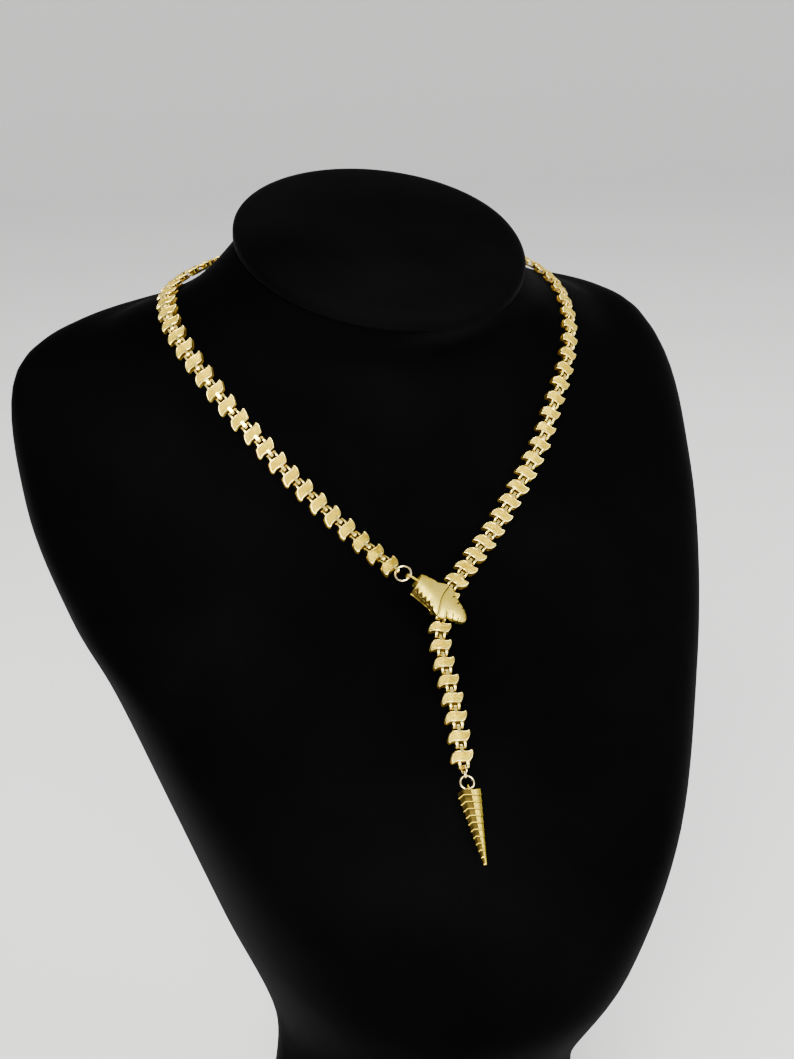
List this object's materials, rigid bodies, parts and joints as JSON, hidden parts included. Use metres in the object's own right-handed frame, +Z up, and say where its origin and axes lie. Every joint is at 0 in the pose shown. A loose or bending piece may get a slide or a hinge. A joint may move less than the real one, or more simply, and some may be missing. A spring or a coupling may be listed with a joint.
{
  "type": "snake necklace on a neck bust",
  "caption": "Gold-coloured snake necklace of S-shaped spine links, its head clasped round the chain and its tail drop below, on a black velvet neck bust.",
  "frame": {"origin": "centre of the bounding box on the underside of the bust's foot", "axes": "+Z up, -Y the way the bust's chest faces, +X the bust's left side, on the viewer's right"},
  "size_m": [0.2136, 0.1734, 0.3071],
  "materials": {
    "bust_velvet": "black velvet, paler at grazing angles",
    "cap_velvet": "black velvet with a paler lower rim",
    "link_gold": "gold plate, finely hatched with polished rims",
    "ring_gold": "polished gold plate",
    "head_gold": "cast and gold plated, darker in its creases",
    "tongue_gold": "gold plate, satin",
    "tail_gold": "cast and gold plated, scored scale rows"
  },
  "bodies": {
    "root": {"neck_bust": "bust_velvet", "neck_cap": "cap_velvet", "neck_chain": "link_gold", "drop_chain": "link_gold", "clasp_ring": "ring_gold", "snake_head": "head_gold", "clasp_tongue": "tongue_gold", "tail_link": "ring_gold", "tail_connector": "ring_gold", "tail_ring": "ring_gold", "snake_tail": "tail_gold"}
  },
  "joints": []
}
